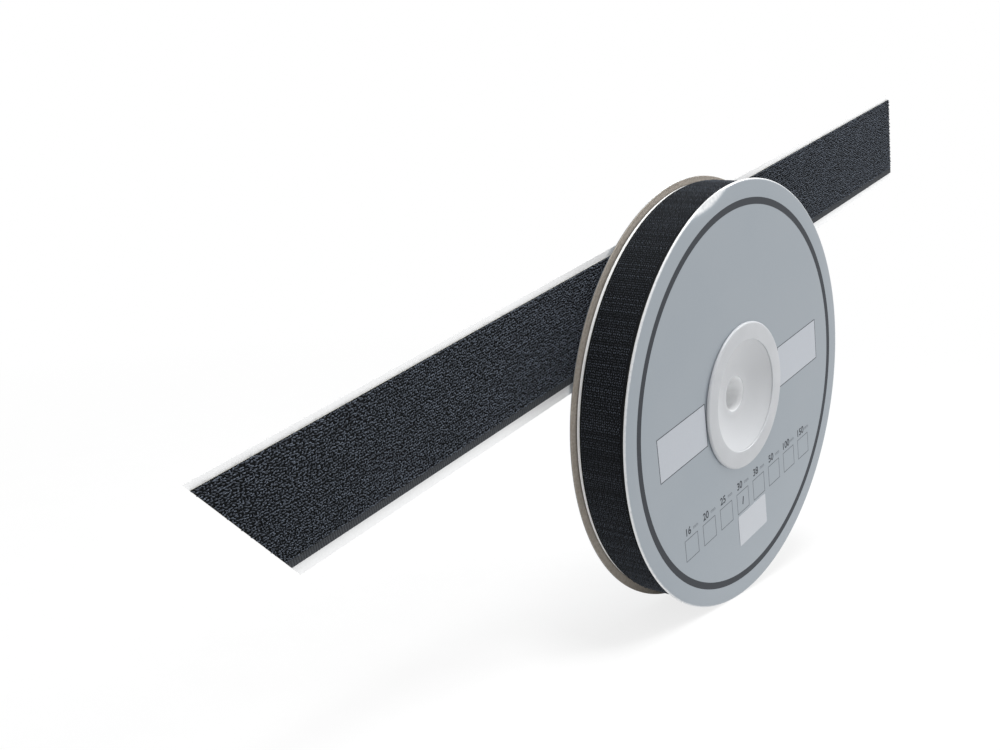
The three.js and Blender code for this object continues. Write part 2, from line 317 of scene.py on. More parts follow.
# The dish is tinted lighter than the collar: a painted glow standing in for light through its thin wall.
painted_dish_glow = rescale(tree, axis_distance, (DISH_RADIUS - LIP_ROUND, DISH_RADIUS), (1, 0))
hub_plastic = tint(hub_plastic, painted_dish_glow, towards=(0.53, 0.542, 0.56))

# The bore round the spindle hole gets a much lighter copy of the hub plastic: painted light standing in for light
# coming through the hole.
bore_painted_light = milky_plastic(
    "bore_painted_light", dark=(0.80, 0.81, 0.82), light=(0.86, 0.87, 0.88),
    roughness=(0.4, 0.5), weight=0.4, depth=0.006)

for side, sign in SIDES:
    face = outer_and_inner(side + "_hub_plug", sign)[0]
    outline = hub_outline(abs(face - reel_y) - MEETING_GAP)
    plug = turned_piece(side + "_hub", from_face(face, sign, outline), HUB_STEPS)
    fit_out(plug, hub_plastic)
    plug.data.materials.append(bore_painted_light.material)
    for polygon in plug.data.polygons:
        away = math.hypot(polygon.center.x - reel_x, polygon.center.z - reel_z)
        if away < SPINDLE_RADIUS + SLEEVE_MARGIN:
            polygon.material_index = 1
    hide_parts(side + "_hub_plug")

# Flange boards
# Two die-cut discs of brown-grey board, their outer edges rounded and bent back a little by
# handling. The near one is crushed at its upper left, where the reel was once knocked.

RIM_ROUND = 0.0009
RIM_DROOP = 0.00035
DROOP_START = 0.1283
EDGE_BREAK = 0.0003
EDGE_BREAK_DEPTH = 0.0002
BOARD_RINGS = (0.0016, 0.0026, 0.0038, 0.0050, 0.0062, 0.0074, 0.0090, 0.0114)
FLANGE_STEPS = 240
CORE_WALL = 0.004
CRUSH_MIDDLE = math.radians(112)
CRUSH_SPREAD = math.radians(13)
CRUSH_WIDTH = 0.0070
CRUSH_TAPER = 1.2
CRUSH_SHARE = 0.75
CRUSH_SHRINK = 0.0045
FLECK_RANGE = (0.56, 0.72)
FLECK_STRENGTH = 0.55

paper_low, paper_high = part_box("near_flange_facing")
core_low, core_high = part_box("core_tube")
flange_radius = (near_high.z - near_low.z) / 2
board_thickness = near_high.y - near_low.y
paper_thickness = paper_high.y - paper_low.y
board_hole = (core_high.z - core_low.z) / 2 - CORE_WALL


def crush_reach(x, z):
    away = (math.atan2(z, x) - CRUSH_MIDDLE) / CRUSH_SPREAD
    if abs(away) >= 1:
        return 0
    width = CRUSH_WIDTH * math.cos(away * math.pi / 2) ** CRUSH_TAPER
    return max(0, (math.hypot(x, z) - flange_radius + width) / CRUSH_WIDTH)


def bend_rim(piece, inner_y, outer_y, crushed):
    for vertex in piece.data.vertices:
        x = vertex.co.x - reel_x
        z = vertex.co.z - reel_z
        outward = max(0, (math.hypot(x, z) - DROOP_START) / (flange_radius - DROOP_START))
        share = max(0, (vertex.co.y - inner_y) / (outer_y - inner_y))
        droop = min(1, outward) ** 2 * RIM_DROOP / abs(outer_y - inner_y)
        reach = crush_reach(x, z) if crushed else 0
        vertex.co.y += (inner_y - outer_y) * share * min(CRUSH_SHARE, droop + CRUSH_SHARE * reach)
        shrink = 1 - CRUSH_SHRINK * reach * share
        vertex.co.x = reel_x + x * shrink
        vertex.co.z = reel_z + z * shrink


greyboard = grained_material(
    "greyboard", dark=(0.27, 0.24, 0.205), light=(0.40, 0.36, 0.315),
    grains_per_metre=700, roughness=(0.9, 1.0), relief=0.00012)
tree = greyboard.tree
fibres = add_node(
    tree, "TexNoise", Vector=greyboard.where, Scale=160, Detail=8, Roughness=0.75, Distortion=1.5)
flecks = rescale(tree, fibres.outputs["Fac"], FLECK_RANGE, (0, FLECK_STRENGTH))
greyboard = tint(greyboard, flecks, towards=(0.50, 0.46, 0.41))

for side, sign in SIDES:
    outer_y, inner_y = outer_and_inner(side + "_flange_board", sign)
    edge = flange_radius - paper_thickness if side == "near" else flange_radius
    rim = arc(edge - RIM_ROUND, RIM_ROUND, RIM_ROUND, 0, -90, points=6)
    board = turned_piece(side + "_board", [
        (board_hole, inner_y),
        (edge - EDGE_BREAK, inner_y),
        (edge, inner_y + sign * EDGE_BREAK_DEPTH),
        *from_face(outer_y, sign, rim),
        *[(edge - step, outer_y) for step in BOARD_RINGS],
        (board_hole, outer_y),
    ], FLANGE_STEPS)
    bend_rim(board, inner_y, outer_y, side == "near")
    fit_out(board, greyboard)
    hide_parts(side + "_flange_board")

# Flange facings
# Silver-grey coated paper glued to the outside of each board. The near one is turned down over the
# rim, which is painted white along its edge as a highlight, and is scraped white where the board is crushed; the
# far one stops on the rounded edge.

# Width of the band along the near rim that is painted white as a highlight.
RIM_HIGHLIGHT_WIDTH = 0.0016
CRUSH_WORN = 0.8
CRUSH_FADE = 2
CLOUD_RANGE = (0.35, 0.65)
CLOUD_STRENGTH = 0.35
SCUFF_RANGE = (0.3, 0.6)
SCUFF_LEAST = 0.7
WEAR_AND_HIGHLIGHT_RANGE = (0.25, 0.8)
SILVER_METALLIC = 0.7
SKIRT_SHORT = 0.0003
GLUE_GAP = 0.00001
FAR_LAP = -40
FACING_RINGS = (0.0008, 0.0018, 0.0030, 0.0042, 0.0054, 0.0066, 0.0082, 0.0105)

paper_roll = RIM_ROUND + paper_thickness
glue_roll = RIM_ROUND + GLUE_GAP
skirt = board_thickness + paper_thickness - SKIRT_SHORT


def number_step(tree, operation, first, second):
    step = tree.nodes.new("ShaderNodeMath")
    step.operation = operation
    tree.links.new(first, step.inputs[0])
    tree.links.new(second, step.inputs[1])
    return step.outputs["Value"]


# Along the rolled rim the paper is painted white as a highlight; at the crush the white is real damage.
def wear_rim(piece):
    wear_and_highlight = piece.data.attributes.new("wear_and_highlight", "FLOAT", "POINT")
    for vertex, mark in zip(piece.data.vertices, wear_and_highlight.data):
        x = vertex.co.x - reel_x
        z = vertex.co.z - reel_z
        rim_highlight = 1 - (flange_radius - math.hypot(x, z)) / RIM_HIGHLIGHT_WIDTH
        crushed = min(1, CRUSH_FADE * crush_reach(x, z)) * CRUSH_WORN
        mark.value = max(0, rim_highlight, crushed)


silver_paper = grained_material(
    "silver_paper", dark=(0.305, 0.341, 0.376), light=(0.326, 0.362, 0.397),
    grains_per_metre=1600, roughness=(0.31, 0.39), relief=0.00001)
tree = silver_paper.tree
cloud = add_node(tree, "TexNoise", Vector=silver_paper.where, Scale=14, Detail=3, Roughness=0.5)
fading = rescale(tree, cloud.outputs["Fac"], CLOUD_RANGE, (0, CLOUD_STRENGTH))
silver_paper = tint(silver_paper, fading, towards=(0.348, 0.378, 0.409))
scuffs = add_node(tree, "TexNoise", Vector=silver_paper.where, Scale=420, Detail=4, Roughness=0.6)
patchy = rescale(tree, scuffs.outputs["Fac"], SCUFF_RANGE, (SCUFF_LEAST, 1))
# This mask, broken up by scuffs, whitens the paper and takes away its metal: painted highlight on the rim, real
# scraping at the crush.
uneven = number_step(tree, "MULTIPLY", read_attribute(tree, "wear_and_highlight", "Fac"), patchy)
worn_and_highlit = rescale(tree, uneven, WEAR_AND_HIGHLIGHT_RANGE, (0, 1))
silver_paper = tint(silver_paper, worn_and_highlit, towards=(0.74, 0.75, 0.76))
set_shader(silver_paper, Metallic=rescale(tree, worn_and_highlit, (0, 1), (SILVER_METALLIC, 0)))

for side, sign in SIDES:
    top, under = outer_and_inner(side + "_flange_facing", sign)
    inner_y = outer_and_inner(side + "_flange_board", sign)[1]
    if side == "near":
        middle = flange_radius - paper_roll
        over = arc(middle, paper_roll, paper_roll, -90, 0, points=8)
        turned_in = [(flange_radius, skirt), (flange_radius - paper_thickness, skirt)]
        beneath = arc(middle, paper_roll, glue_roll, 0, -90, points=8)
    else:
        middle = flange_radius - RIM_ROUND
        over = arc(middle, paper_roll, paper_roll, -90, FAR_LAP, points=5)
        turned_in = []
        beneath = arc(middle, paper_roll, glue_roll, FAR_LAP, -90, points=5)
    rings = [middle - step for step in FACING_RINGS]
    facing = turned_piece(side + "_facing", [
        (board_hole, top),
        *[(radius, top) for radius in reversed(rings)],
        *from_face(top, sign, over + turned_in + beneath),
        *[(radius, under) for radius in rings],
        (board_hole, under),
    ], FLANGE_STEPS)
    if side == "near":
        wear_rim(facing)
    bend_rim(facing, inner_y, top, side == "near")
    fit_out(facing, silver_paper)
    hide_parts(side + "_flange_facing")

# Print
# Dark and grey ink on the near paper: a ring inside the rim, two pale windows with thin outlines
# beside the hub, and a row of boxes under their widths, one of them ticked by hand.

PRINT_TURN = math.radians(12.5)
INK = 0.00002
RING_INNER = 0.1236
RING_OUTER = 0.1281
WINDOW_WIDTH = 0.057
WINDOW_HEIGHT = 0.0293
WINDOW_OFFSET = 0.0775
WINDOW_LINE = 0.00055
BOX_WIDTH = 0.0160
BOX_HEIGHT = 0.0150
BOX_PITCH = 0.0223
BOX_FIRST = -0.0778
BOX_MIDDLE = -0.0718
BOX_LINE = 0.0005
FIGURE_SIZE = 0.0072
FIGURE_BOLD = 0.00014
FIGURE_BASE = -0.0618
FIGURE_ASIDE = 0.0032
UNIT_SIZE = 0.0040
UNIT_BOLD = 0
UNIT_RAISE = 0.0010
UNIT_ASIDE = 0.0060
WIDTHS = (16, 20, 25, 30, 38, 50, 100, 150)
TICKED = 30
TICK_LENGTH = 0.0056
TICK_WIDTH = 0.0012
TICK_LEAN = math.radians(14)

face_y = paper_low.y


def print_piece(name, parts, finish, height):
    bpy.ops.object.select_all(action="DESELECT")
    for part in parts:
        part.select_set(True)
    bpy.context.view_layer.objects.active = parts[0]
    if len(parts) > 1:
        bpy.ops.object.join()
    piece = bpy.context.object
    piece.name = name
    piece.data.name = name
    turned = Matrix.Rotation(-PRINT_TURN, 4, "Y")
    piece.matrix_world = Matrix.Translation((reel_x, face_y - height, reel_z)) @ turned @ piece.matrix_world
    bpy.ops.object.transform_apply(location=True, rotation=True, scale=True)
    piece.data.materials.clear()
    fit_out(piece, finish)


def flat_plate(x, z, width, height):
    bpy.ops.object.select_all(action="DESELECT")
    bpy.ops.mesh.primitive_plane_add(size=1, location=(x, 0, z), rotation=(math.pi / 2, 0, 0))
    plate = bpy.context.object
    plate.scale = (width, height, 1)
    bpy.ops.object.transform_apply(location=True, rotation=True, scale=True)
    return plate


def line_frame(x, z, width, height, line):
    plate = flat_plate(x, z, width, height)
    bpy.ops.object.mode_set(mode="EDIT")
    bpy.ops.mesh.select_all(action="SELECT")
    bpy.ops.mesh.inset(thickness=line)
    bpy.ops.mesh.delete(type="FACE")
    bpy.ops.object.mode_set(mode="OBJECT")
    return plate


def figure(text, x, z, size, bold):
    bpy.ops.object.select_all(action="DESELECT")
    bpy.ops.object.text_add(location=(x, 0, z), rotation=(math.pi / 2, 0, 0))
    words = bpy.context.object
    words.data.body = text
    words.data.size = size
    words.data.offset = bold
    words.data.align_x = "CENTER"
    bpy.ops.object.convert(target="MESH")
    bpy.ops.object.transform_apply(location=True, rotation=True, scale=True)
    return bpy.context.object


def ink(name, dark, light):
    finish = grained_material(
        name, dark, light, grains_per_metre=2500, roughness=(0.55, 0.7), relief=0.000005)
    set_shader(finish, Specular_IOR_Level=0.25)
    return finish


dark_print = ink("dark_print", dark=(0.028, 0.032, 0.039), light=(0.042, 0.047, 0.056))
grey_print = ink("grey_print", dark=(0.105, 0.112, 0.122), light=(0.130, 0.138, 0.150))
window_paper = grained_material(
    "window_paper", dark=(0.415, 0.440, 0.480), light=(0.455, 0.480, 0.520),
    grains_per_metre=2200, roughness=(0.45, 0.55), relief=0.000008)

ring = turned_piece("print_ring", [
    (RING_INNER, face_y),
    (RING_INNER, face_y - INK),
    (RING_OUTER, face_y - INK),
    (RING_OUTER, face_y),
], FLANGE_STEPS)
fit_out(ring, dark_print)

window_places = (-WINDOW_OFFSET, WINDOW_OFFSET)
windows = [flat_plate(x, 0, WINDOW_WIDTH, WINDOW_HEIGHT) for x in window_places]
print_piece("print_windows", windows, window_paper, INK / 2)
outlines = [line_frame(x, 0, WINDOW_WIDTH, WINDOW_HEIGHT, WINDOW_LINE) for x in window_places]
print_piece("print_window_lines", outlines, dark_print, INK)

boxes = []
figures = []
units = []
for place, width in enumerate(WIDTHS):
    x = BOX_FIRST + BOX_PITCH * place
    boxes.append(line_frame(x, BOX_MIDDLE, BOX_WIDTH, BOX_HEIGHT, BOX_LINE))
    figures.append(figure(str(width), x - FIGURE_ASIDE, FIGURE_BASE, FIGURE_SIZE, FIGURE_BOLD))
    units.append(figure("mm", x + UNIT_ASIDE, FIGURE_BASE + UNIT_RAISE, UNIT_SIZE, UNIT_BOLD))
print_piece("print_boxes", boxes, grey_print, INK)
print_piece("print_figures", figures, dark_print, INK)
print_piece("print_units", units, grey_print, INK)

tick = flat_plate(0, 0, TICK_WIDTH, TICK_LENGTH)
tick_x = BOX_FIRST + BOX_PITCH * WIDTHS.index(TICKED)
tick.matrix_world = Matrix.Translation((tick_x, 0, BOX_MIDDLE)) @ Matrix.Rotation(TICK_LEAN, 4, "Y")
print_piece("print_tick", [tick], dark_print, INK)

# Width sticker
# A small plain paper label stuck by hand below the ticked box, square to the print.
# The modelled plate is kept and dressed.

sticker_paper = grained_material(
    "sticker_paper", dark=(0.455, 0.477, 0.510), light=(0.500, 0.522, 0.555),
    grains_per_metre=1500, roughness=(0.4, 0.5), relief=0.00002)
dress_node("width_sticker", sticker_paper)

# Inner turns
# About thirty-five turns of hook tape on its liner, wound as one spiral from the core outwards.
# Each turn carries the next; only their edges show, through the slit beside the far flange.

LINER_PLY = 0.0002
ADHESIVE_PLY = 0.00025
GROUND_PLY = 0.0006
HOOK_HEIGHT = 0.0009
TURN_GAP = 0.0005
RIM_DEPTH = 0.0071
START_ANGLE = math.radians(96)
INNER_STEPS_PER_TURN = 90
WAVE_SCALE = math.pi / 10
RIB_WAVER = 1.2
RIB_BUMP = 0.8
RIB_RELIEF = 0.0002
GROOVE_SHADE_RANGE = (0.1, 0.5)
GROOVE_SHADE_BLACK = (0.003, 0.0033, 0.004)

liner_base = TURN_GAP
adhesive_base = liner_base + LINER_PLY
ground_base = adhesive_base + ADHESIVE_PLY
hook_base = ground_base + GROUND_PLY
turn_pitch = hook_base + HOOK_HEIGHT
step_radius = flange_radius - RIM_DEPTH
liner_low, liner_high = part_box("outer_turn_liner")
tape_low, tape_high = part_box("outer_turn_hook_tape")
tape_y = (tape_low.y + tape_high.y) / 2
tape_width = tape_high.y - tape_low.y
liner_width = liner_high.y - liner_low.y
tape_breadth = (-tape_width / 2, tape_width / 2)
liner_breadth = (-liner_width / 2, liner_width / 2)


def lay_ply(name, length, breadth, height, steps, lanes):
    bpy.ops.object.select_all(action="DESELECT")
    bpy.ops.mesh.primitive_grid_add(x_subdivisions=steps, y_subdivisions=lanes, size=1)
    ply = bpy.context.object
    ply.name = name
    ply.data.name = name
    ply.scale = (length[1] - length[0], breadth[1] - breadth[0], 1)
    ply.location = ((length[0] + length[1]) / 2, (breadth[0] + breadth[1]) / 2, height[0])
    bpy.ops.object.transform_apply(location=True, rotation=True, scale=True)
    thicken = ply.modifiers.new("ply", "SOLIDIFY")
    thicken.thickness = height[1] - height[0]
    thicken.offset = 1
    bpy.ops.object.modifier_apply(modifier=thicken.name)
    return ply


def flat_points(piece):
    flat = np.empty(len(piece.data.vertices) * 3, np.float32)
    piece.data.vertices.foreach_get("co", flat)
    return flat.reshape(-1, 3)


def keep_lay(piece, flat):
    lay = piece.data.attributes.new("lay", "FLOAT_VECTOR", "POINT")
    lay.data.foreach_set("vector", flat.ravel())
    return flat.astype(float)


def put_points(piece, points):
    piece.data.vertices.foreach_set("co", points.astype(np.float32).ravel())
    piece.data.update()


def wind_on(piece):
    flat = keep_lay(piece, flat_points(piece))
    turn = flat[:, 0] / step_radius
    radius = step_radius + flat[:, 2] + turn_pitch * turn / (2 * math.pi)
    angle = START_ANGLE - turn
    x = reel_x + radius * np.cos(angle)
    z = reel_z + radius * np.sin(angle)
    put_points(piece, np.column_stack((x, tape_y + flat[:, 1], z)))


def dress_turn(piece, finish):
    wind_on(piece)
    fit_out(piece, finish)


ribs, given, result = new_effect("ribs", inputs={
    "Place": "Vector",
    "Scale": "Float",
    "Colour": "Color",
    "Depth": "Float",
}, outputs={"Colour": "Color", "Normal": "Vector"})
wave = add_node(ribs, "TexWave", Vector=given["Place"], Scale=given["Scale"], Distortion=RIB_WAVER)
wave.bands_direction = "X"
# The troughs of the ribs are tinted towards near black: painted shade in the grooves of the weave.
groove_shade = rescale(ribs, wave.outputs["Fac"], GROOVE_SHADE_RANGE, (given["Depth"], 0))
ribs.links.new(blend_colours(ribs, groove_shade, given["Colour"], GROOVE_SHADE_BLACK), result["Colour"])
bump = add_node(ribs, "Bump", Strength=RIB_BUMP, Distance=RIB_RELIEF, Height=wave.outputs["Fac"])
ribs.links.new(bump.outputs["Normal"], result["Normal"])


def ribbed_material(name, dark, light, ribs_per_metre, groove_shade_depth):
    finish = grained_material(
        name, dark, light, grains_per_metre=1800, roughness=(0.7, 0.9), relief=0, place="lay")
    ribbing = add_effect(
        finish.tree, ribs, Place=finish.where, Scale=ribs_per_metre * WAVE_SCALE,
        Colour=finish.colour, Depth=groove_shade_depth)
    set_shader(finish, Base_Color=ribbing["Colour"], Normal=ribbing["Normal"], Specular_IOR_Level=0.1)
    return finish


woven_black = ribbed_material(
    "woven_black", dark=(0.006, 0.007, 0.008), light=(0.016, 0.018, 0.020),
    ribs_per_metre=1300, groove_shade_depth=0.75)
liner_paper = grained_material(
    "liner_paper", dark=(0.89, 0.895, 0.90), light=(0.94, 0.945, 0.95),
    grains_per_metre=700, roughness=(0.32, 0.44), relief=0.00003, place="lay")
set_shader(liner_paper, Coat_Weight=0.15)

core_radius = (core_high.x - core_low.x) / 2
inner_turn_count = math.floor((step_radius - core_radius) / turn_pitch)
inner_length = (-2 * math.pi * inner_turn_count * step_radius, 0)
inner_steps = inner_turn_count * INNER_STEPS_PER_TURN

linings = lay_ply(
    "inner_turn_liners", inner_length, liner_breadth, (liner_base, adhesive_base), inner_steps, lanes=1)
dress_turn(linings, liner_paper)
tapes = lay_ply(
    "inner_turn_tapes", inner_length, tape_breadth, (adhesive_base, turn_pitch), inner_steps, lanes=1)
dress_turn(tapes, woven_black)
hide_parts("inner_turns")

# Outer turn
# The last full turn: a white siliconed liner that stands out past both edges of the tape, a clear
# adhesive, a black woven ground with plain selvedges, and rows of cut nylon hooks.

SELVEDGE = 0.0013
HOOK_FILAMENT = 0.2
HOOK_CURVE_STEPS = 4
HOOK_SWAY_ALONG = 0.3
HOOK_SWAY_ACROSS = 0.28
HOOK_TURN_SWAY = 0.9
HOOK_SHORTEST = 0.75
SHEEN_CURVE = 1.3
OUTER_START = 0.0003
OUTER_STEPS = 300
OUTER_SEED = 20
SPLICE = math.radians(364)
HOOK_PIECES = 4

Pile = namedtuple("Pile", "pitch_along pitch_across hook_breadth lightest rowed even")
# Each pile has a peak of painted sheen; the roll's peak is lower than the strip's, as painted shade.
turn_pile = Pile(
    pitch_along=0.0015, pitch_across=0.0014, hook_breadth=0.00115, lightest=0.33, rowed=0.7, even=0.2)

adhesive_film = grained_material(
    "adhesive_film", dark=(0.50, 0.47, 0.38), light=(0.58, 0.55, 0.46),
    grains_per_metre=900, roughness=(0.12, 0.25), relief=0.00003, place="lay")
set_shader(adhesive_film, Transmission_Weight=0.5)

# Each hook is tinted from near black towards bluish grey by its own random amount: painted glints standing in for
# light on the glossy filaments.
hook_nylon = grained_material(
    "hook_nylon", dark=(0.004, 0.0046, 0.0055), light=(0.009, 0.010, 0.012),
    grains_per_metre=500, roughness=(0.45, 0.6), relief=0.00001, place="lay")
painted_sheen = read_attribute(hook_nylon.tree, "painted_sheen", "Fac")
hook_nylon = tint(hook_nylon, painted_sheen, towards=(0.26, 0.302, 0.375))
set_shader(hook_nylon, Specular_IOR_Level=0.12)

bpy.ops.object.select_all(action="DESELECT")
bpy.ops.curve.primitive_bezier_curve_add()
hook = bpy.context.object
hook.data.resolution_u = HOOK_CURVE_STEPS
hook.data.bevel_depth = HOOK_FILAMENT
hook.data.bevel_resolution = 0
hook.data.use_fill_caps = True
root, tip = hook.data.splines[0].bezier_points
for point in (root, tip):
    point.handle_left_type = "FREE"
    point.handle_right_type = "FREE"
root.co = (-0.25, 0, 0)
root.handle_right = (-0.35, 0, 1.05)
tip.co = (0.32, 0, 0.45)
tip.handle_left = (0.48, 0, 1.22)
bpy.ops.object.convert(target="MESH")
hook = bpy.context.object
hook_points = np.array([vertex.co for vertex in hook.data.vertices])
hook_points[:, 2] *= 1 / hook_points[:, 2].max()
hook_corners = np.array([corner for face in hook.data.polygons for corner in face.vertices])
hook_starts = np.array([face.loop_start for face in hook.data.polygons])
bpy.data.objects.remove(hook)


def hook_places(length, field, pile, seed):
    start, stop = length
    below, above = field
    loose = 1 - pile.rowed
    draw = np.random.default_rng(seed)
    columns = int((above - below) / pile.pitch_across)
    rows = int((stop - start) / pile.pitch_along)
    column, row = np.meshgrid(np.arange(columns), np.arange(rows))
    column = column.ravel()
    row = row.ravel()
    staggered = loose * (column % 2 - 0.5) / 2
    x = start + (row + 0.5 + staggered) * (stop - start) / rows
    y = below + (column + 0.5) * (above - below) / columns
    x = x + loose * draw.uniform(-HOOK_SWAY_ALONG, HOOK_SWAY_ALONG, x.size) * pile.pitch_along
    y = y + draw.uniform(-HOOK_SWAY_ACROSS, HOOK_SWAY_ACROSS, y.size) * pile.pitch_across
    turned = math.pi * (column % 2) + draw.uniform(-HOOK_TURN_SWAY, HOOK_TURN_SWAY, x.size)
    tall = draw.uniform(HOOK_SHORTEST, 1, x.size)
    share = pile.rowed * draw.uniform(0, 1, rows)[row] + loose * draw.uniform(0, 1, x.size)
    painted_sheen = pile.lightest * (pile.even + (1 - pile.even) * share ** SHEEN_CURVE)
    return x, y, turned, tall, painted_sheen


def plant_hooks(name, length, field, base, pile, seed):
    x, y, turned, tall, painted_sheen = hook_places(length, field, pile, seed)
    breadth = pile.hook_breadth
    cosine = np.cos(turned)[:, None]
    sine = np.sin(turned)[:, None]
    points = np.empty((x.size, len(hook_points), 3), np.float32)
    points[:, :, 0] = x[:, None] + breadth * (cosine * hook_points[:, 0] - sine * hook_points[:, 1])
    points[:, :, 1] = y[:, None] + breadth * (sine * hook_points[:, 0] + cosine * hook_points[:, 1])
    points[:, :, 2] = base + HOOK_HEIGHT * tall[:, None] * hook_points[:, 2]
    offsets = np.arange(x.size)[:, None]
    corners = (hook_corners + offsets * len(hook_points)).ravel().astype(np.int32)
    starts = (hook_starts + offsets * len(hook_corners)).ravel().astype(np.int32)
    mesh = bpy.data.meshes.new(name)
    mesh.vertices.add(points.size // 3)
    mesh.vertices.foreach_set("co", points.ravel())
    mesh.loops.add(corners.size)
    mesh.loops.foreach_set("vertex_index", corners)
    mesh.polygons.add(starts.size)
    mesh.polygons.foreach_set("loop_start", starts)
    mesh.polygons.foreach_set("use_smooth", np.ones(starts.size, bool))
    mesh.update(calc_edges=True)
    shade = mesh.attributes.new("painted_sheen", "FLOAT", "POINT")
    shade.data.foreach_set("value", np.repeat(painted_sheen, len(hook_points)).astype(np.float32))
    planted = bpy.data.objects.new(name, mesh)
    bpy.context.scene.collection.objects.link(planted)
    return planted


def even_shares(length, count):
    start, stop = length
    cuts = [start + (stop - start) * part / count for part in range(count + 1)]
    return list(zip(cuts, cuts[1:]))


outer_stop = SPLICE * step_radius
outer_length = (OUTER_START, outer_stop)
turn_field = (SELVEDGE - tape_width / 2, tape_width / 2 - SELVEDGE)

turn_liner = lay_ply(
    "outer_liner", outer_length, liner_breadth, (liner_base, adhesive_base), OUTER_STEPS, lanes=4)
dress_turn(turn_liner, liner_paper)
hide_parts("outer_turn_liner")

turn_adhesive = lay_ply(
    "outer_adhesive", outer_length, tape_breadth, (adhesive_base, ground_base), OUTER_STEPS, lanes=1)
dress_turn(turn_adhesive, adhesive_film)
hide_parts("outer_turn_adhesive")

turn_ground = lay_ply(
    "outer_ground", outer_length, tape_breadth, (ground_base, hook_base), OUTER_STEPS, lanes=6)
dress_turn(turn_ground, woven_black)
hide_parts("outer_turn_hook_tape")

for part, length in enumerate(even_shares(outer_length, HOOK_PIECES)):
    hooks = plant_hooks(
        f"outer_hooks_{part + 1}", length, turn_field, hook_base, turn_pile, OUTER_SEED + part)
    dress_turn(hooks, hook_nylon)

# Loose end of the tape
# The last stretch of the outer turn, which lies on the turn below by its own weight and lifts off
# with its liner. It is wound on past the outer turn and left unattached to the reel's body.

END_TURN = math.radians(420)
TAIL_STEPS = 60
TAIL_SEED = 30


def named(rows, name):
    return next(row for row in rows if row["name"] == name)


tail_length = (outer_stop, END_TURN * step_radius)


def dress_tail(piece, finish):
    wind_on(piece)
    piece.data.materials.append(finish.material)
    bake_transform(piece)


tail_liner = lay_ply(
    "tail_liner", tail_length, liner_breadth, (liner_base, adhesive_base), TAIL_STEPS, lanes=4)
dress_tail(tail_liner, liner_paper)
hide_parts("tape_end_liner")

tail_adhesive = lay_ply(
    "tail_adhesive", tail_length, tape_breadth, (adhesive_base, ground_base), TAIL_STEPS, lanes=1)
dress_tail(tail_adhesive, adhesive_film)
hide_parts("tape_end_adhesive")

tail_ground = lay_ply(
    "tail_ground", tail_length, tape_breadth, (ground_base, hook_base), TAIL_STEPS, lanes=6)
dress_tail(tail_ground, woven_black)
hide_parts("tape_end_hook_tape")

tail_hooks = plant_hooks("tail_hooks", tail_length, turn_field, hook_base, turn_pile, TAIL_SEED)
dress_tail(tail_hooks, hook_nylon)

# Cut length
# A strip of a wider hook tape on its liner, standing on the far hub's collar with its hooks to the
# reel. Its left end is cut on the slant and peels off the liner; from where the peel starts its tape is made as
# separate pieces, left unattached to the reel's body.

STRIP_HALF = 0.0305
STRIP_LINER_BELOW = 0.0370
STRIP_LINER_ABOVE = 0.0345
STRIP_LENGTH = 0.717
STRIP_SLANT = math.tan(math.radians(35))
LOWER_SELVEDGE = 0.0040
LOWER_SELVEDGE_PLY = 0.00015
HOOK_OVERHANG = 0.0003
STRIP_PIECES = 4
STRIP_STEPS = 160
STRIP_SEED = 40
PEEL_MARGIN = 0.012
PEEL_STEPS = 60
PEEL_SEED = 50

peel = named(frame["joints"], "backing_peel")
back = named(frame["record"]["mounts"], "strip_back")
strip_middle = Vector(back["pos_m"])
to_reel = -Vector(back["axis"])
across = Vector(peel["axis"])
along = across.cross(to_reel)
peel_start = Vector(peel["pos_m"])
strip_near = -STRIP_LENGTH / 2
strip_far = STRIP_LENGTH / 2
strip_split = (peel_start - strip_middle).dot(along) + PEEL_MARGIN
fixed_length = (strip_split, strip_far)
peel_length = (strip_near, strip_split)
strip_breadth = (-STRIP_HALF, STRIP_HALF)
edge_breadth = (-STRIP_HALF, LOWER_SELVEDGE - STRIP_HALF)
strip_field = (LOWER_SELVEDGE - STRIP_HALF, STRIP_HALF + HOOK_OVERHANG)
cut_ground_base = LINER_PLY + ADHESIVE_PLY
cut_hook_base = cut_ground_base + GROUND_PLY
cut_adhesive_height = (LINER_PLY, cut_ground_base)
cut_ground_height = (cut_ground_base, cut_hook_base)
edge_height = (cut_hook_base, cut_hook_base + LOWER_SELVEDGE_PLY)
# The cut strip's hooks get a higher peak of painted sheen than the roll's.
strip_pile = Pile(
    pitch_along=0.0015, pitch_across=0.00145, hook_breadth=0.0017, lightest=0.40, rowed=0, even=0.32)

ribbed_black = ribbed_material(
    "ribbed_black", dark=(0.040, 0.043, 0.048), light=(0.080, 0.086, 0.094),
    ribs_per_metre=620, groove_shade_depth=0.4)


def stand_up(piece):
    flat = flat_points(piece)
    share = np.clip((strip_split - flat[:, 0]) / (strip_split - strip_near), 0, 1)
    flat[:, 0] -= flat[:, 1] * STRIP_SLANT * share
    axes = np.array([along, across, to_reel])
    put_points(piece, np.array(strip_middle) + keep_lay(piece, flat) @ axes)


def dress_strip(piece, finish):
    stand_up(piece)
    fit_out(piece, finish)


def dress_peel(piece, finish):
    stand_up(piece)
    piece.data.materials.append(finish.material)
    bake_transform(piece)


strip_liner = lay_ply(
    "cut_liner", (strip_near, strip_far), (-STRIP_LINER_BELOW, STRIP_LINER_ABOVE), (0, LINER_PLY),
    STRIP_STEPS, lanes=4)
dress_strip(strip_liner, liner_paper)
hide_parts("strip_liner")

strip_adhesive = lay_ply(
    "cut_adhesive", fixed_length, strip_breadth, cut_adhesive_height, STRIP_STEPS, lanes=1)
dress_strip(strip_adhesive, adhesive_film)
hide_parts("strip_adhesive")

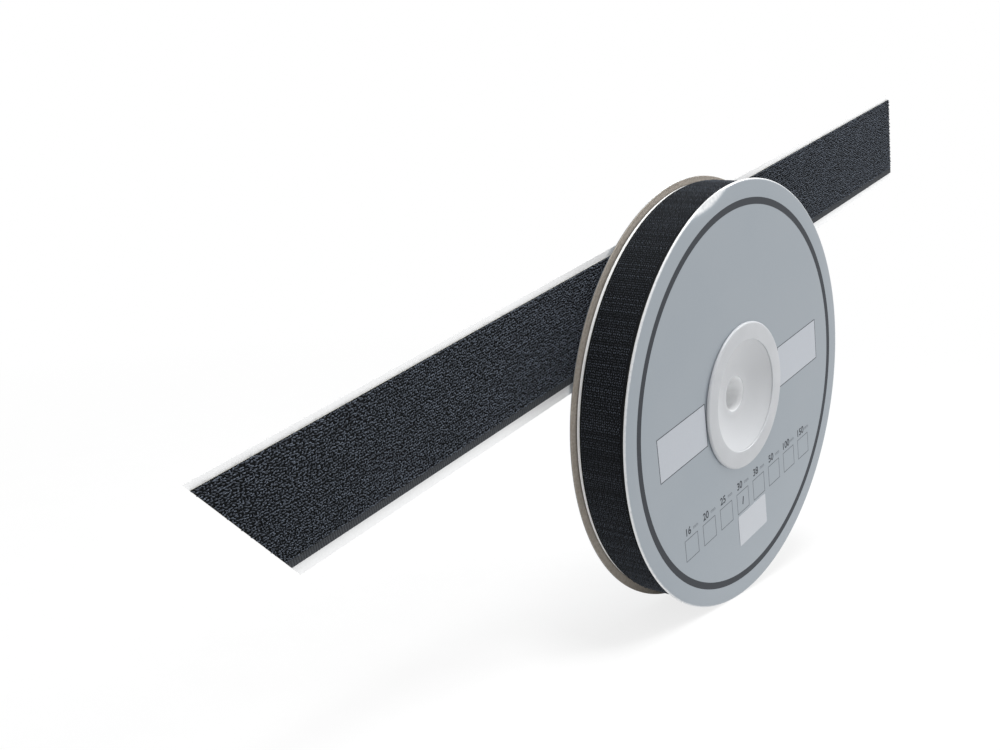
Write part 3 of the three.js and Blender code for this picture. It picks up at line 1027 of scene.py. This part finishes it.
strip_ground = lay_ply("cut_ground", fixed_length, strip_breadth, cut_ground_height, STRIP_STEPS, lanes=6)
dress_strip(strip_ground, woven_black)
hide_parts("strip_hook_tape")

strip_edge = lay_ply("cut_selvedge", fixed_length, edge_breadth, edge_height, STRIP_STEPS, lanes=1)
dress_strip(strip_edge, ribbed_black)

for part, length in enumerate(even_shares(fixed_length, STRIP_PIECES)):
    hooks = plant_hooks(
        f"cut_hooks_{part + 1}", length, strip_field, cut_hook_base, strip_pile, STRIP_SEED + part)
    dress_strip(hooks, hook_nylon)

peel_adhesive = lay_ply(
    "cut_end_adhesive", peel_length, strip_breadth, cut_adhesive_height, PEEL_STEPS, lanes=6)
dress_peel(peel_adhesive, adhesive_film)
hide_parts("strip_end_adhesive")

peel_ground = lay_ply("cut_end_ground", peel_length, strip_breadth, cut_ground_height, PEEL_STEPS, lanes=6)
dress_peel(peel_ground, woven_black)
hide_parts("strip_end_hook_tape")

peel_edge = lay_ply("cut_end_selvedge", peel_length, edge_breadth, edge_height, PEEL_STEPS, lanes=1)
dress_peel(peel_edge, ribbed_black)

peel_hooks = plant_hooks("cut_end_hooks", peel_length, strip_field, cut_hook_base, strip_pile, PEEL_SEED)
dress_peel(peel_hooks, hook_nylon)

# Floor, light and view
# A plain white floor under soft studio light: a large lamp overhead, another high in front on the
# right, and a dim even surround. Seen directly or in a reflection, floor and surround are white.

FLOOR_SIZE = 60
FLOOR_DROP = 0.0001
FLOOR_CLEAR = (0.8, 1)
CLEAR_DISTANCES = (0.25, 1.1)
SURROUND = 0.45
FOCAL_PIXELS = 1300
IMAGE_PIXELS = 1000
SENSOR_WIDTH = 36
VIEW_AZIMUTH = math.radians(-51.4)
VIEW_ELEVATION = math.radians(11.9)
REEL_RIGHT = 0.1432
REEL_DOWN = 0.0106
REEL_AWAY = 0.858

centre = Vector((reel_x, reel_y, reel_z))


def in_sight(tree):
    path = tree.nodes.new("ShaderNodeLightPath").outputs
    camera_or_glossy = number_step(tree, "MAXIMUM", path["Is Camera Ray"], path["Is Glossy Ray"])
    return number_step(tree, "MAXIMUM", camera_or_glossy, path["Is Transmission Ray"])


bpy.ops.object.select_all(action="DESELECT")
bpy.ops.mesh.primitive_plane_add(size=FLOOR_SIZE, location=(0, 0, -FLOOR_DROP))
floor = bpy.context.object
floor.name = "floor"
floor_white = grained_material(
    "floor_white", dark=(0.80, 0.80, 0.80), light=(0.84, 0.84, 0.84),
    grains_per_metre=30, roughness=(0.9, 0.95), relief=0.00001)
set_shader(floor_white, Specular_IOR_Level=0)
tree = floor_white.tree
clear = rescale(tree, vector_step(tree, "LENGTH", floor_white.where), CLEAR_DISTANCES, FLOOR_CLEAR)
white = add_node(tree, "Emission", Color=(1, 1, 1, 1), Strength=1)
mixed = add_node(tree, "MixShader", Fac=number_step(tree, "MULTIPLY", clear, in_sight(tree)))
tree.links.new(floor_white.shader.outputs["BSDF"], mixed.inputs[1])
tree.links.new(white.outputs["Emission"], mixed.inputs[2])
tree.links.new(mixed.outputs["Shader"], tree.nodes["Material Output"].inputs["Surface"])
floor.data.materials.append(floor_white.material)

world = bpy.data.worlds.new("surround")
bpy.context.scene.world = world
world.use_nodes = True
tree = world.node_tree
strength = rescale(tree, in_sight(tree), (0, 1), (SURROUND, 1))
fill_inputs(tree, tree.nodes["Background"], {"Color": (1, 1, 1, 1), "Strength": strength})


def soft_lamp(name, offset, size, watts):
    bpy.ops.object.light_add(type="AREA", location=centre + Vector(offset))
    lamp = bpy.context.object
    lamp.name = name
    lamp.data.size = size
    lamp.data.energy = watts
    lamp.rotation_euler = (-Vector(offset)).to_track_quat("-Z", "Y").to_euler()


soft_lamp("key_lamp", offset=(-0.1, -0.25, 1.6), size=0.6, watts=24)
soft_lamp("front_lamp", offset=(1.5, -1.0, 1.5), size=0.9, watts=24)

back_way = Vector((
    math.sin(VIEW_AZIMUTH) * math.cos(VIEW_ELEVATION),
    -math.cos(VIEW_AZIMUTH) * math.cos(VIEW_ELEVATION),
    math.sin(VIEW_ELEVATION),
))
right_way = Vector((math.cos(VIEW_AZIMUTH), math.sin(VIEW_AZIMUTH), 0))
up_way = back_way.cross(right_way)
eye = centre - REEL_RIGHT * right_way + REEL_DOWN * up_way + REEL_AWAY * back_way
bpy.ops.object.camera_add(location=eye, rotation=(math.pi / 2 - VIEW_ELEVATION, 0, VIEW_AZIMUTH))
camera = bpy.context.object
camera.data.sensor_width = SENSOR_WIDTH
camera.data.lens = SENSOR_WIDTH * FOCAL_PIXELS / IMAGE_PIXELS
bpy.context.scene.camera = camera
bpy.context.scene.view_settings.view_transform = "Standard"
